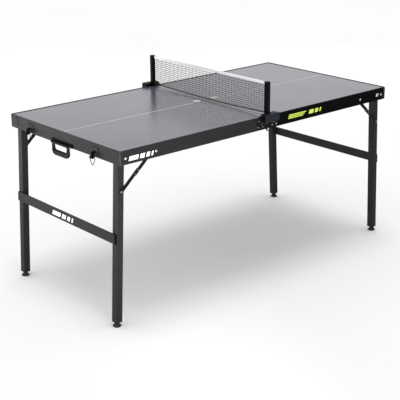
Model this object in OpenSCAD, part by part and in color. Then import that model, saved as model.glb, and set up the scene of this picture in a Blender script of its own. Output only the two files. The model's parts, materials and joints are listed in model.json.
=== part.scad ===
// Folding mid-size ping pong table with a lift-off net set.
// +X runs along the table, +Y across it, +Z up; the origin is on the floor under the seam's middle.
// Everything is drawn for the left half's near side (x < 0, y < 0) and mirrored to the other places.

/* [Table] */
// Length over both end aprons
table_l = 1614; // [1600:2:1640]
// Width over the side aprons
table_w = 800; // [760:2:840]
// Height of the playing surface above the floor
table_h = 762; // [740:1:780]
// Thickness of the playing board
board_t = 12; // [9:0.5:12]
// Gap between the two halves at the seam
seam_gap = 1; // [0.6:0.1:1.5]

/* [Aprons] */
// Depth of the aprons, playing surface to lower edge
apron_h = 57.5; // [57:0.5:60]
// Thickness of the folded apron sheet
sheet_t = 1.5; // [1:0.1:1.5]
// Width of the side aprons' ledge and lower lip
side_lip_w = 14; // [10:0.5:16]
// Width of the end aprons' ledge and lower lip
end_lip_w = 9; // [8:0.5:9]
// Width of a corner guard along the end apron
guard_w = 48; // [30:1:60]

/* [Legs] */
// Outside size of the square leg tube
leg_s = 32; // [28:0.5:32]
// Wall of the leg tube
leg_wall = 1.5; // [1.2:0.1:2]
// Outward lean of the legs in degrees
leg_lean = 3.1; // [2.8:0.1:3.2]
// Leg pivot's distance from the table's end
pivot_in_x = 27; // [27:0.5:29]
// Leg centre line's distance from the table's side
leg_in_y = 46; // [45:0.5:60]
// Depth of the leg and brace pivots below the playing surface
pivot_drop = 31.5; // [31:0.5:33]
// Height of the leg tube's lower end above the floor
tube_clear = 24; // [22:0.5:30]
// Height of the crossbar's middle above the floor
bar_z = 387.5; // [300:1:450]
// Height of the crossbar's section
bar_h = 42; // [30:1:50]
// Thickness of the crossbar's section
bar_t = 7; // [6:0.5:8]
// Length of the crossbar
bar_l = 732; // [724:1:744]

/* [Braces] */
// Distance from the leg pivot to the brace's pivot on the apron
brace_reach = 154; // [152:1:165]
// Distance from the leg pivot to the brace's pivot on the leg
brace_drop = 143.7; // [135:0.1:143.7]
// Width of a brace link
link_w = 15; // [13:0.5:15]
// Thickness of a brace link
link_t = 3; // [2:0.1:3]
// Length of the upper link's tail past the middle pivot
link_tail = 21; // [15:1:25]

/* [Handle and latches] */
// Width of the handle's loop
handle_w = 120; // [114:1:140]
// Height of the handle's loop below its pivot
handle_h = 52; // [45:1:60]
// Distance of each latch from the table's middle
latch_y = 239; // [200:1:260]
// Length of a latch lever
lever_l = 23; // [20:0.5:24]
// Length of a latch bail
bail_l = 36; // [30:1:38]

/* [Net] */
// Height of the net's top above the playing surface
net_h = 152.5; // [140:0.5:160]
// Height of the white top tape
tape_h = 15.5; // [12:0.5:18]
// Side of a square net post
post_s = 18; // [16:0.5:20]
// Length of a net clamp along the table
clamp_l = 84; // [70:1:88]
// Reach of a net clamp out from the table's side
clamp_out = 34; // [28:1:40]

/* [Hidden] */
$fn = 48;

LEFT = -1;
RIGHT = 1;
NEAR = -1;
FAR = 1;

board_grey = [0.60, 0.60, 0.62];
apron_black = [0.16, 0.16, 0.17];
tube_black = [0.20, 0.20, 0.21];
part_black = [0.07, 0.07, 0.08];
cover_grey = [0.20, 0.23, 0.25];
screw_silver = [0.72, 0.72, 0.74];
mesh_dark = [0.15, 0.15, 0.16];
tape_white = [0.95, 0.95, 0.95];

gap = 0.3;                              // clearance between pieces that move past each other
run = 0.05;                             // radial running clearance of a pin in its bore
end_x = table_l / 2;                    // outer face of an end apron
side_y = table_w / 2;                   // outer face of a side apron
low_z = table_h - apron_h;              // lower edge of the aprons, and the height of the fold axis
board_z = table_h - board_t;            // underside of the playing board
seam_x = seam_gap / 2;                  // each half ends here
web_y = side_y - sheet_t;               // inner face of a side apron's web

pivot_x = end_x - pivot_in_x;
pivot_z = table_h - pivot_drop;
pin_r = 4;                              // leg pivot pin
rivet_r = 3;                            // brace, hinge and handle pins
spacer_r = 8;                           // spacers between the legs and the aprons
head_r = 5.5;                           // round heads that show on the aprons
head_t = 1.8;
leg_face_y = side_y - leg_in_y + leg_s / 2;   // the leg's outward side face
leg_back_y = leg_face_y - leg_s;
tube_r = 2.2;                           // outside corner radius of the leg tube
tube_top = 9;                           // tube above the leg pivot
cap_t = 1.5;                            // flange of the top plug
tube_low = (pivot_z - tube_clear) / cos(leg_lean);   // tube below the leg pivot
foot_x = pivot_x + pivot_z * tan(leg_lean);          // foot's middle on the floor
foot_r = 17.5;
foot_pad_t = 7;
socket_t = 3;                           // flange of the foot socket
stem_r = 4;                             // threaded stem of a foot

washer_t = 2;                           // between the leg and the lower link
low_y = leg_face_y + washer_t + 0.2;    // inner face of the lower link
up_y = low_y + link_t + 0.4;            // inner face of the upper link
flush_r = 5;                            // flush rivet heads in the links' counterbores
flush_t = 1.2;
dome_t = 1.6;                           // rivet heads at the brace's middle

// The brace is straight when the leg is down and doubles back flat when the leg is folded.
hook = [brace_drop * sin(leg_lean), -brace_drop * cos(leg_lean)];
brace_run = [brace_reach + hook[0], -hook[1]];
brace_rest = norm(brace_run);
brace_fold = brace_reach - brace_drop;
brace_angle = atan2(brace_run[1], brace_run[0]);
link_low = (brace_rest + brace_fold) / 2;
link_up = (brace_rest - brace_fold) / 2;

handle_z = low_z + 4.5;                 // handle pivot
handle_x = end_x + 10;
handle_t = 16;
grip_h = 22;                            // the loop's lower bar
loop_side = 12;
lug_y = handle_w / 2 + gap;             // inner faces of the base's lugs
lug_t = 8;
base_y = lug_y + lug_t + 9;             // half the length of the base plate
base_t = 3.5;                           // handle base plate
knuckle_r = 5;                          // round ends at the handle's pivot
finger_w = 96;                          // opening for the fingers

latch_z = low_z + 17.5;                 // lever pivot
latch_x = end_x + 9;
latch_t = 2;                            // latch and catch plates
latch_pin_r = 2;
lever_droop = 45;                       // the open lever hangs this far below level
bail_arm = 14;                          // lever pivot to bail pivot
wire_r = 1.5;
bail_y = 16.5;                          // half the bail's width
cheek_y = 12;                           // inner faces of the latch's cheeks
cheek_t = 2;
bail_pos = [latch_x + bail_arm * cos(lever_droop), latch_z - bail_arm * sin(lever_droop)];

clamp_low = table_h - 20;
clamp_top = table_h + 16;
clamp_wall = 3;
cover_t = 2.5;                          // cover on the front of a clamp
net_y = side_y - 11;                    // inner faces of the posts
net_tuck = 2;                           // how far the net reaches into the posts' grooves
net_low = table_h + 12;                 // lower edge of the net
net_top = table_h + net_h;
tape_z = net_top - tape_h;
mesh_t = 1.6;
tape_t = 3.2;

hinge_eye_r = 9;
leaf_t = 2.2;
// Hinge leaf outline and screws, from the fold axis outwards along the half.
LEAF = [[0.5, 9], [4, 20], [26, 28], [48, 35], [48, 50], [62, 50], [62, 5], [20, 5], [9, 0], [0.5, 0]];
LEAF_SCREWS = [[55, 43.5], [38, 26.5], [55, 14.5], [29, 14.5]];
leaf_screw_r = 3.3;

// Puts a piece drawn at +x, +y into one of the four quarters of the table.
module place(end, side) {
  mirror([end < 0 ? 1 : 0, 0, 0]) mirror([0, side < 0 ? 1 : 0, 0]) children();
}

// A cylinder along +Y from y0 to y1 with its axis at x, z.
module rod_y(x, z, r, y0, y1) {
  translate([x, y0, z]) rotate([-90, 0, 0]) cylinder(h = y1 - y0, r = r);
}

// A plate along +Y from y0 to y1 whose outline is drawn in x and z.
module plate_y(y0, y1) {
  translate([0, y1, 0]) rotate([90, 0, 0]) linear_extrude(y1 - y0) children();
}

module rounded(w, h, r) {
  square([w, h - 2 * r], center = true);
  square([w - 2 * r, h], center = true);
  for (x = [-1, 1], y = [-1, 1]) translate([x * (w / 2 - r), y * (h / 2 - r)]) circle(r);
}

// The leg's own frame: the pivot is the origin and the tube runs down -Z.
module leg_frame() {
  translate([pivot_x, 0, pivot_z]) rotate([0, -leg_lean, 0]) children();
}

// ---- Table halves ----

module panel(end) {
  color(board_grey) place(end, FAR)
    translate([seam_x + 0.2, -web_y + 0.2, board_z])
      cube([end_x - sheet_t - seam_x - 0.4, 2 * web_y - 0.4, board_t]);
}

module side_apron(end, side) {
  color(apron_black) place(end, side) difference() {
    union() {
      translate([seam_x, web_y, low_z]) cube([end_x - seam_x, sheet_t, apron_h]);
      for (z = [low_z, board_z - sheet_t])
        translate([seam_x + sheet_t, side_y - side_lip_w, z])
          cube([end_x - end_lip_w - seam_x - sheet_t, side_lip_w - sheet_t / 2, sheet_t]);
    }
    rod_y(pivot_x, pivot_z, pin_r, web_y - 1, side_y + 1);
    rod_y(pivot_x - brace_reach, pivot_z, rivet_r, web_y - 1, side_y + 1);
  }
}

module end_apron(end) {
  color(apron_black) place(end, FAR) {
    translate([end_x - sheet_t, -web_y, low_z]) cube([sheet_t, 2 * web_y, apron_h]);
    for (z = [low_z, board_z - sheet_t])
      translate([end_x - end_lip_w, -web_y, z]) cube([end_lip_w - sheet_t / 2, 2 * web_y, sheet_t]);
  }
}

// A folded channel under the board along the seam, with a wide ledge and a narrow lower lip.
module seam_rail(end) {
  rail_y = side_y - side_lip_w;
  ledge_w = 24;
  lip_w = 12;
  color(apron_black) place(end, FAR) translate([seam_x, -rail_y, 0]) {
    translate([0, 0, low_z]) cube([sheet_t, 2 * rail_y, board_z - low_z]);
    translate([0, 0, board_z - sheet_t]) cube([ledge_w, 2 * rail_y, sheet_t]);
    translate([0, 0, low_z]) cube([lip_w, 2 * rail_y, sheet_t]);
  }
}

// Thin angles wrapped round the aprons' outer corners.
module corner_guards(end) {
  t = 1.2;
  r = 4;
  wrap = 12;
  arc = [for (a = [0:10:90]) [end_x + t - r, side_y + t - r] + r * [cos(a), sin(a)]];
  outline = concat(
    [[end_x, side_y - guard_w], [end_x + t, side_y - guard_w]], arc,
    [[end_x - wrap, side_y + t], [end_x - wrap, side_y], [end_x, side_y]]);
  color(apron_black) for (side = [NEAR, FAR]) place(end, side)
    translate([0, 0, low_z + 0.5]) linear_extrude(apron_h - 1) polygon(outline);
}

module spacers(end) {
  color(part_black) for (side = [NEAR, FAR]) place(end, side) {
    difference() {
      rod_y(pivot_x, pivot_z, spacer_r, leg_face_y + gap, web_y);
      rod_y(pivot_x, pivot_z, pin_r, leg_face_y, side_y);
    }
    difference() {
      rod_y(pivot_x - brace_reach, pivot_z, spacer_r - 1, up_y + link_t + gap, web_y);
      rod_y(pivot_x - brace_reach, pivot_z, rivet_r, leg_face_y, side_y);
    }
  }
}

// A low rivet or screw head in two steps, standing on a face at y.
module round_head(x, z, y, r = head_r, t = head_t) {
  rod_y(x, z, r, y, y + t * 0.6);
  rod_y(x, z, r * 0.75, y, y + t);
}

module pivot_pins(end) {
  nut_y = leg_back_y - 6;
  color(screw_silver) for (side = [NEAR, FAR]) place(end, side) {
    rod_y(pivot_x, pivot_z, pin_r, nut_y, side_y);
    rod_y(pivot_x, pivot_z, 7, nut_y, leg_back_y - gap);
    round_head(pivot_x, pivot_z, side_y);
    rod_y(pivot_x - brace_reach, pivot_z, rivet_r, up_y, side_y);
    rod_y(pivot_x - brace_reach, pivot_z, flush_r, up_y, up_y + flush_t);
    round_head(pivot_x - brace_reach, pivot_z, side_y);
  }
}

// ---- Centre hinges: side plates that turn on a pin at the aprons' lower edge ----

module leaf_outline() {
  translate([0, low_z]) polygon(LEAF);
}

module left_hinge_leaves() {
  color(part_black) for (side = [NEAR, FAR]) place(LEFT, side) difference() {
    union() {
      plate_y(side_y, side_y + leaf_t) leaf_outline();
      rod_y(0, low_z, hinge_eye_r, side_y + 0.4, side_y + leaf_t);
    }
    rod_y(0, low_z, rivet_r, side_y - 1, side_y + leaf_t + 1);
  }
}

// The part of the leaf around the eye, from x0 to x1.
module leaf_neck(x0, x1) {
  intersection() {
    leaf_outline();
    translate([x0, low_z]) square([x1 - x0, 22]);
  }
}

// The right leaf steps outwards so that its eye passes over the left one's.
module right_hinge_leaves() {
  outer = side_y + leaf_t + gap;
  neck_x = 22;
  color(part_black) for (side = [NEAR, FAR]) place(RIGHT, side) difference() {
    union() {
      difference() {
        plate_y(side_y, side_y + leaf_t) leaf_outline();
        rod_y(0, low_z, hinge_eye_r + 3 * gap, side_y - 1, outer);
      }
      plate_y(side_y + leaf_t, outer) leaf_neck(neck_x - 10, neck_x);
      plate_y(outer, outer + leaf_t) leaf_neck(0, neck_x);
      rod_y(0, low_z, hinge_eye_r, outer, outer + leaf_t);
    }
    rod_y(0, low_z, rivet_r + run, side_y - 1, outer + leaf_t + 1);
  }
}

module hinge_pins() {
  top = side_y + 2 * leaf_t + 2 * gap;
  color(screw_silver) for (side = [NEAR, FAR]) place(RIGHT, side) {
    rod_y(0, low_z, rivet_r, side_y + 0.4, top);
    round_head(0, low_z, top);
  }
}

module leaf_screws(end) {
  for (side = [NEAR, FAR]) place(end, side)
    for (s = LEAF_SCREWS) round_head(s[0], low_z + s[1], side_y + leaf_t, leaf_screw_r, 1.6);
}

// A screw head on the end apron.
module end_screw(y, z, x) {
  translate([x, y, z]) rotate([0, 90, 0]) {
    cylinder(h = 1, r = 3);
    cylinder(h = 1.5, r = 2.3);
  }
}

module left_screws() {
  color(screw_silver) {
    leaf_screws(LEFT);
    place(LEFT, FAR) {
      for (y = [-50, 50]) end_screw(y, handle_z + 9, end_x + base_t);
      for (side = [NEAR, FAR], y = [-15, 15])
        end_screw(side * latch_y + y, latch_z + 22, end_x + latch_t);
    }
  }
}

module right_screws() {
  color(screw_silver) {
    leaf_screws(RIGHT);
    place(RIGHT, FAR)
      for (side = [NEAR, FAR], y = [-9, 9])
        end_screw(side * latch_y + y, low_z + 22, end_x + latch_t);
  }
}

// ---- Carry handle ----

module handle_base() {
  color(part_black) place(LEFT, FAR) {
    translate([end_x, -base_y, low_z + 0.5]) cube([base_t, 2 * base_y, 17]);
    for (side = [NEAR, FAR]) place(RIGHT, side) difference() {
      union() {
        rod_y(handle_x, handle_z, knuckle_r, lug_y, lug_y + lug_t);
        translate([end_x, lug_y, handle_z - 4]) cube([handle_x - end_x, lug_t, knuckle_r + 4]);
      }
      rod_y(handle_x, handle_z, rivet_r, lug_y - 1, lug_y + lug_t + 1);
    }
  }
}

module handle_grip() {
  side_low = handle_z - handle_h + 12;
  finger_h = handle_h - grip_h - knuckle_r;
  color(part_black) place(LEFT, FAR) difference() {
    union() {
      translate([handle_x - handle_t / 2, 0, handle_z - handle_h + grip_h / 2]) rotate([90, 0, 90])
        linear_extrude(handle_t) rounded(handle_w, grip_h, 10);
      for (side = [NEAR, FAR]) place(RIGHT, side)
        translate([handle_x - knuckle_r, handle_w / 2 - loop_side, side_low])
          cube([2 * knuckle_r, loop_side, handle_z - side_low]);
      rod_y(handle_x, handle_z, knuckle_r, -handle_w / 2, handle_w / 2);
    }
    for (side = [NEAR, FAR]) place(RIGHT, side)
      rod_y(handle_x, handle_z, rivet_r + run, handle_w / 2 - 12, handle_w / 2 + 1);
    translate([handle_x, 0, handle_z - knuckle_r - finger_h / 2])
      cube([handle_t + 2, finger_w, finger_h], center = true);
  }
}

// ---- Toggle latches ----

module latch_base(side) {
  cheek_r = 8;
  color(part_black) place(LEFT, side) difference() {
    union() {
      translate([end_x, latch_y - 20, latch_z - 10]) cube([latch_t, 40, 38]);
      for (y = [-cheek_y - cheek_t, cheek_y]) translate([0, latch_y + y, 0]) {
        rod_y(latch_x, latch_z, cheek_r, 0, cheek_t);
        translate([end_x, 0, latch_z - cheek_r]) cube([latch_x - end_x, cheek_t, 2 * cheek_r]);
      }
    }
    rod_y(latch_x, latch_z, latch_pin_r, latch_y - 20, latch_y + 20);
  }
}

module latch_lever(side) {
  half = cheek_y - 0.5;
  color(part_black) place(LEFT, side) translate([latch_x, latch_y, latch_z]) rotate([0, lever_droop, 0])
    difference() {
      union() {
        rod_y(0, 0, 5.5, -half, half);
        rod_y(bail_arm, 0, 4, -half, half);
        translate([0, -half, -2]) cube([lever_l - 2, 2 * half, 4]);
        rod_y(lever_l - 2.5, 1, 3, -half, half);
      }
      rod_y(0, 0, latch_pin_r + run, -20, 20);
      rod_y(bail_arm, 0, wire_r + run, -20, 20);
    }
}

// One straight piece of bail wire between two points of the y-z plane, with a ball at its end.
module wire(a, b) {
  d = b - a;
  translate([0, a[0], a[1]]) rotate([-90 + atan2(d[1], d[0]), 0, 0]) cylinder(h = norm(d), r = wire_r);
  translate([0, b[0], b[1]]) sphere(wire_r + 0.1);
}

// A loop of wire that hangs from the lever and narrows to a point.
module latch_bail(side) {
  low = [[bail_y, 0], [bail_y, -10], [12, -20], [4, -bail_l + 1.5], [0, -bail_l]];
  color(part_black) place(LEFT, side) translate([bail_pos[0], latch_y, bail_pos[1]])
    for (s = [-1, 1]) mirror([0, s < 0 ? 1 : 0, 0]) {
      wire([cheek_y - 4.5, 0], low[0]);
      for (i = [0:len(low) - 2]) wire(low[i], low[i + 1]);
    }
}

module end_pins() {
  outside = lug_y + lug_t;
  cheek_out = cheek_y + cheek_t;
  color(screw_silver) place(LEFT, FAR) for (side = [NEAR, FAR]) place(RIGHT, side) {
    rod_y(handle_x, handle_z, rivet_r, handle_w / 2 - 11, outside);
    rod_y(handle_x, handle_z, 4.5, outside, outside + 1.5);
    rod_y(latch_x, latch_z, latch_pin_r, latch_y - cheek_out, latch_y + cheek_out);
  }
}

module right_catches() {
  color(part_black) for (side = [NEAR, FAR]) place(RIGHT, side) {
    translate([end_x, latch_y - 15, low_z + 1]) cube([latch_t, 30, 27]);
    translate([end_x, latch_y - 8, low_z + 3.5]) {
      cube([10, 16, 2.5]);
      translate([8, 0, 0]) cube([2, 16, 8]);
    }
  }
}

// ---- Leg frames ----

module leg(end, side) {
  color(tube_black) place(end, side) difference() {
    leg_frame() translate([0, side_y - leg_in_y, -tube_low]) linear_extrude(tube_low + tube_top)
      difference() {
        rounded(leg_s, leg_s, tube_r);
        rounded(leg_s - 2 * leg_wall, leg_s - 2 * leg_wall, tube_r - leg_wall);
      }
    rod_y(pivot_x, pivot_z, pin_r + run, leg_back_y - 1, leg_face_y + 1);
    leg_frame() rod_y(0, -brace_drop, rivet_r, leg_face_y - leg_wall - 1, leg_face_y + 1);
  }
}

module leg_plugs(end) {
  inside = leg_s - 2 * leg_wall - 0.2;
  color(part_black) for (side = [NEAR, FAR]) place(end, side)
    leg_frame() translate([0, side_y - leg_in_y, 0]) {
      translate([0, 0, tube_top]) linear_extrude(cap_t) rounded(leg_s, leg_s, tube_r);
      translate([0, 0, tube_top - 3]) linear_extrude(3.5) rounded(inside, inside, 1.2);
      difference() {
        union() {
          translate([0, 0, -tube_low - socket_t]) linear_extrude(socket_t) rounded(leg_s, leg_s, tube_r);
          translate([0, 0, -tube_low - 0.5]) linear_extrude(20) rounded(inside, inside, 1.2);
        }
        translate([0, 0, -tube_low - socket_t - 1]) cylinder(h = 30, r = stem_r + run);
      }
    }
}

module crossbar(end) {
  color(tube_black) place(end, FAR) leg_frame()
    translate([leg_s / 2, -bar_l / 2, -(pivot_z - bar_z) / cos(leg_lean) - bar_h / 2])
      cube([bar_t, bar_l, bar_h]);
}

module brace_rivets(end) {
  color(screw_silver) for (side = [NEAR, FAR]) place(end, side) leg_frame() {
    rod_y(0, -brace_drop, rivet_r, leg_face_y - leg_wall, low_y + link_t);
    rod_y(0, -brace_drop, 6, leg_face_y, leg_face_y + washer_t);
    rod_y(0, -brace_drop, flush_r, low_y + link_t - flush_t, low_y + link_t);
  }
}

// A round pad on a stem that screws into the leg's lower plug, with its nut just under the plug.
module foot(end, side) {
  nut_t = 5;
  neck_r = 8;
  color(part_black) place(end, side) {
    translate([foot_x, side_y - leg_in_y, 0]) rotate_extrude()
      polygon([[0, 0], [foot_r - 1, 0], [foot_r, 1], [foot_r, 4], [foot_r - 2, 5.5],
        [neck_r, foot_pad_t], [neck_r - 2, foot_pad_t + 3], [0, foot_pad_t + 3]]);
    leg_frame() translate([0, side_y - leg_in_y, 0]) {
      translate([0, 0, -pivot_z / cos(leg_lean) + 5]) cylinder(h = tube_clear + 14, r = stem_r);
      translate([0, 0, -tube_low - socket_t - gap - nut_t]) cylinder(h = nut_t, r = 7.5, $fn = 6);
    }
  }
}

// ---- Folding braces ----

// A straight link from its own origin along +x, with round ends.
module link_shape(l) {
  translate([0, -link_w / 2]) square([l, link_w]);
  for (x = [0, l]) translate([x, 0]) circle(link_w / 2);
}

// The brace's own frame: origin on the leg's rivet, +x towards the apron's pin.
module brace_frame() {
  leg_frame() translate([0, 0, -brace_drop]) rotate([0, brace_angle + leg_lean - 180, 0])
    children();
}

module link_lower(end, side) {
  color(part_black) place(end, side) brace_frame() difference() {
    union() {
      plate_y(low_y, low_y + link_t) link_shape(link_low);
      rod_y(link_low, 0, flush_r, low_y - dome_t, low_y);
    }
    rod_y(0, 0, rivet_r + run, low_y - 1, low_y + link_t + 1);
    rod_y(0, 0, flush_r + 0.1, low_y + link_t - flush_t - run, low_y + link_t + 1);
  }
}

module link_upper(end, side) {
  color(part_black) place(end, side) brace_frame() translate([link_low, 0, 0]) difference() {
    union() {
      plate_y(up_y, up_y + link_t) translate([-link_tail, 0]) link_shape(link_up + link_tail);
      rod_y(0, 0, flush_r, up_y + link_t, up_y + link_t + dome_t);
      rod_y(-link_tail, 0, flush_r * 0.7, up_y + link_t, up_y + link_t + dome_t * 0.7);
    }
    rod_y(link_up, 0, rivet_r + run, up_y - 1, up_y + link_t + 1);
    rod_y(link_up, 0, flush_r + 0.1, up_y - 1, up_y + flush_t + run);
  }
}

// ---- Net set ----

// A square post with a notch across its top and a groove that holds the end of the net.
module net_post(side) {
  notch = 4;
  groove = 3.8;
  color(part_black) place(RIGHT, side) difference() {
    union() {
      translate([-post_s / 2, net_y, clamp_top]) cube([post_s, post_s, net_top - clamp_top]);
      translate([-post_s / 2, net_y, table_h + gap])
        cube([post_s, side_y + 0.4 - net_y, clamp_top - table_h]);
    }
    translate([-notch / 2, net_y - 1, net_top - notch]) cube([notch, post_s + 2, notch + 1]);
    translate([-groove / 2, net_y - 1, table_h]) cube([groove, net_tuck + 1.5, net_h + 1]);
  }
}

// A channel that hangs over the table's side, with two end cheeks.
module net_clamp(side) {
  y0 = side_y + 0.4;
  y1 = side_y + clamp_out - cover_t;
  hook_z = clamp_low + 6;
  cheek = [[y0, hook_z], [y0, table_h + gap], [net_y, table_h + gap], [net_y, table_h + 3],
    [side_y + 20, clamp_top], [y1, clamp_top], [y1, clamp_low]];
  channel = [[y0, hook_z], [y0, clamp_top], [y1, clamp_top], [y1, clamp_low],
    [y1 - clamp_wall, clamp_low], [y1 - clamp_wall, clamp_top - clamp_wall],
    [y0 + clamp_wall, clamp_top - clamp_wall], [y0 + clamp_wall, hook_z]];
  color(part_black) place(RIGHT, side) rotate([90, 0, 90]) {
    for (x = [-clamp_l / 2, clamp_l / 2 - clamp_wall])
      translate([0, 0, x]) linear_extrude(clamp_wall) polygon(cheek);
    translate([0, 0, -clamp_l / 2 + clamp_wall])
      linear_extrude(clamp_l - 2 * clamp_wall) polygon(channel);
  }
}

module net_clamp_covers() {
  color(cover_grey) for (side = [NEAR, FAR]) place(RIGHT, side)
    translate([0, side_y + clamp_out - cover_t, (clamp_low + clamp_top) / 2]) rotate([-90, 0, 0])
      linear_extrude(cover_t) rounded(clamp_l, clamp_top - clamp_low, 6);
}

// The net's cloth and its white tape, as plain strips stretched between the posts' grooves.
module net_strip(t, z0, z1) {
  half = net_y + net_tuck;
  translate([-t / 2, -half, z0]) cube([t, 2 * half, z1 - z0]);
}

module net_mesh() {
  color(mesh_dark) net_strip(mesh_t, net_low, tape_z);
}

module net_tape() {
  color(tape_white) net_strip(tape_t, tape_z, net_top);
}

panel(LEFT);  // left_panel
side_apron(LEFT, NEAR);  // left_apron_near
side_apron(LEFT, FAR);  // left_apron_far
end_apron(LEFT);  // left_apron_end
seam_rail(LEFT);  // left_seam_rail
corner_guards(LEFT);  // left_corner_guards
left_hinge_leaves();
left_screws();
pivot_pins(LEFT);  // left_pivot_pins
spacers(LEFT);  // left_spacers
hinge_pins();
handle_base();
end_pins();
latch_base(NEAR);  // latch_base_near
latch_base(FAR);  // latch_base_far
handle_grip();
latch_lever(NEAR);  // latch_lever_near
latch_lever(FAR);  // latch_lever_far
latch_bail(NEAR);  // latch_bail_near
latch_bail(FAR);  // latch_bail_far
leg(LEFT, NEAR);  // left_leg_near
leg(LEFT, FAR);  // left_leg_far
crossbar(LEFT);  // left_crossbar
leg_plugs(LEFT);  // left_leg_plugs
brace_rivets(LEFT);  // left_brace_rivets
link_upper(LEFT, NEAR);  // left_link_upper_near
link_upper(LEFT, FAR);  // left_link_upper_far
link_lower(LEFT, NEAR);  // left_link_lower_near
link_lower(LEFT, FAR);  // left_link_lower_far
foot(LEFT, NEAR);  // left_foot_near
foot(LEFT, FAR);  // left_foot_far
panel(RIGHT);  // right_panel
side_apron(RIGHT, NEAR);  // right_apron_near
side_apron(RIGHT, FAR);  // right_apron_far
end_apron(RIGHT);  // right_apron_end
seam_rail(RIGHT);  // right_seam_rail
corner_guards(RIGHT);  // right_corner_guards
right_hinge_leaves();
right_screws();
pivot_pins(RIGHT);  // right_pivot_pins
spacers(RIGHT);  // right_spacers
right_catches();
leg(RIGHT, NEAR);  // right_leg_near
leg(RIGHT, FAR);  // right_leg_far
crossbar(RIGHT);  // right_crossbar
leg_plugs(RIGHT);  // right_leg_plugs
brace_rivets(RIGHT);  // right_brace_rivets
link_upper(RIGHT, NEAR);  // right_link_upper_near
link_upper(RIGHT, FAR);  // right_link_upper_far
link_lower(RIGHT, NEAR);  // right_link_lower_near
link_lower(RIGHT, FAR);  // right_link_lower_far
foot(RIGHT, NEAR);  // right_foot_near
foot(RIGHT, FAR);  // right_foot_far
net_post(NEAR);  // net_post_near
net_post(FAR);  // net_post_far
net_clamp(NEAR);  // net_clamp_near
net_clamp(FAR);  // net_clamp_far
net_clamp_covers();
net_mesh();
net_tape();
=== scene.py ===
"""Looks of a folding mid-size ping pong table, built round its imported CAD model.

Everything is in metres in the CAD's frame: +X along the table, +Y across it, +Z up, the floor at 0.
The left half (x < 0) carries the handle and the latches; "near" is the -Y side.
"""

import json
import math
import random

import bmesh
import bpy
from mathutils import Matrix, Vector


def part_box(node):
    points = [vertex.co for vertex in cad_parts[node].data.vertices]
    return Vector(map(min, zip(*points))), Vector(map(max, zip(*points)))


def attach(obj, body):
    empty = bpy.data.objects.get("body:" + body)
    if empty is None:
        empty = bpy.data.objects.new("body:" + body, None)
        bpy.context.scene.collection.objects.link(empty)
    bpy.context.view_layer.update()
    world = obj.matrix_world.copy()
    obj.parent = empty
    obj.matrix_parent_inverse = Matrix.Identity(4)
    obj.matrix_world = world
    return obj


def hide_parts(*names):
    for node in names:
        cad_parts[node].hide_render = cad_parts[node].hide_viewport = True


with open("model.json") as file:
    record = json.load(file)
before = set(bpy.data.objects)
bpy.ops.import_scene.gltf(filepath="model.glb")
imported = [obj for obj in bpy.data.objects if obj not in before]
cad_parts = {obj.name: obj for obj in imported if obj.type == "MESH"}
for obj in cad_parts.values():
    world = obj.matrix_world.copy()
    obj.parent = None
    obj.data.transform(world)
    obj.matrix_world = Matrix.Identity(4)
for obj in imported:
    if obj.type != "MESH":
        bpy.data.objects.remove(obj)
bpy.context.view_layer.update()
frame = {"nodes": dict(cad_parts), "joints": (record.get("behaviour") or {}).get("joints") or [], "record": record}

MM = 0.001
SIDES = {"near": -1, "far": 1}
ENDS = {"left": -1, "right": 1}
X, Y, Z = Vector((1, 0, 0)), Vector((0, 1, 0)), Vector((0, 0, 1))

JOINTS = {j["name"]: j for j in frame["joints"]}
MOUNTS = {m["name"]: m for m in frame["record"]["mounts"]}
rng = random.Random(7)


def low(node):
    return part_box(node)[0]


def high(node):
    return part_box(node)[1]


def pivot(joint):
    return Vector(JOINTS[joint]["pos_m"])


def leg_line(end):
    """The way up a leg of this end, seen from the side."""
    line = pivot(end + "_leg_fold") - Vector(MOUNTS[f"{end}_near_foot_face"]["pos_m"])
    return Vector((line.x, 0, line.z)).normalized()


# ---- Camera and light ----

CAMERA_PLACE = Vector((-3.029, -3.413, 1.889))
CAMERA_AZIMUTH, CAMERA_ELEVATION, CAMERA_ROLL = -41.15, 19.57, -0.47  # degrees
LENS, SENSOR = 90.25, 36  # mm


def add_camera():
    a, e, roll = (math.radians(v) for v in (CAMERA_AZIMUTH, CAMERA_ELEVATION, CAMERA_ROLL))
    back = Vector((math.sin(a) * math.cos(e), -math.cos(a) * math.cos(e), math.sin(e)))
    right = Z.cross(back).normalized()
    up = back.cross(right)
    turn = Matrix.Rotation(roll, 3, back)
    data = bpy.data.cameras.new("camera")
    data.lens, data.sensor_width = LENS, SENSOR
    data.clip_start, data.clip_end = 0.05, 100
    camera = bpy.data.objects.new("camera", data)
    bpy.context.collection.objects.link(camera)
    axes = Matrix((turn @ right, turn @ up, back)).transposed()
    camera.matrix_world = Matrix.Translation(CAMERA_PLACE) @ axes.to_4x4()
    bpy.context.scene.camera = camera


WORLD = 0.8  # strength of the even white room
SKYLIGHT, SKY_ANGLE = 0.95, 30  # soft light from straight above, and how wide it is in degrees
LIGHTS = [
    # name, place, target, width and height, spread in degrees, power
    ("left_strip", (-3.0, 0.8, 0.14), (-0.8, 0.1, 0.7), (2.6, 0.24), 70, 11),
    ("back_strip", (-2.1, 2.2, 0.14), (-0.8, 0.1, 0.5), (1.6, 0.24), 90, 2),
    ("front_softbox", (-1.15, -1.75, 0.3), (-0.62, -0.4, 0.55), (0.6, 0.5), 60, 5),
    ("back_softbox", (3.6, 4.4, 1.9), (0.2, 0, 0.76), (6.0, 2.2), 120, 9),
]


def add_light(name, kind, place, target, power):
    data = bpy.data.lights.new(name, kind)
    data.energy = power
    light = bpy.data.objects.new(name, data)
    bpy.context.collection.objects.link(light)
    light.location = place
    light.rotation_euler = (Vector(target) - Vector(place)).to_track_quat("-Z", "Y").to_euler()
    return data


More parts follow.
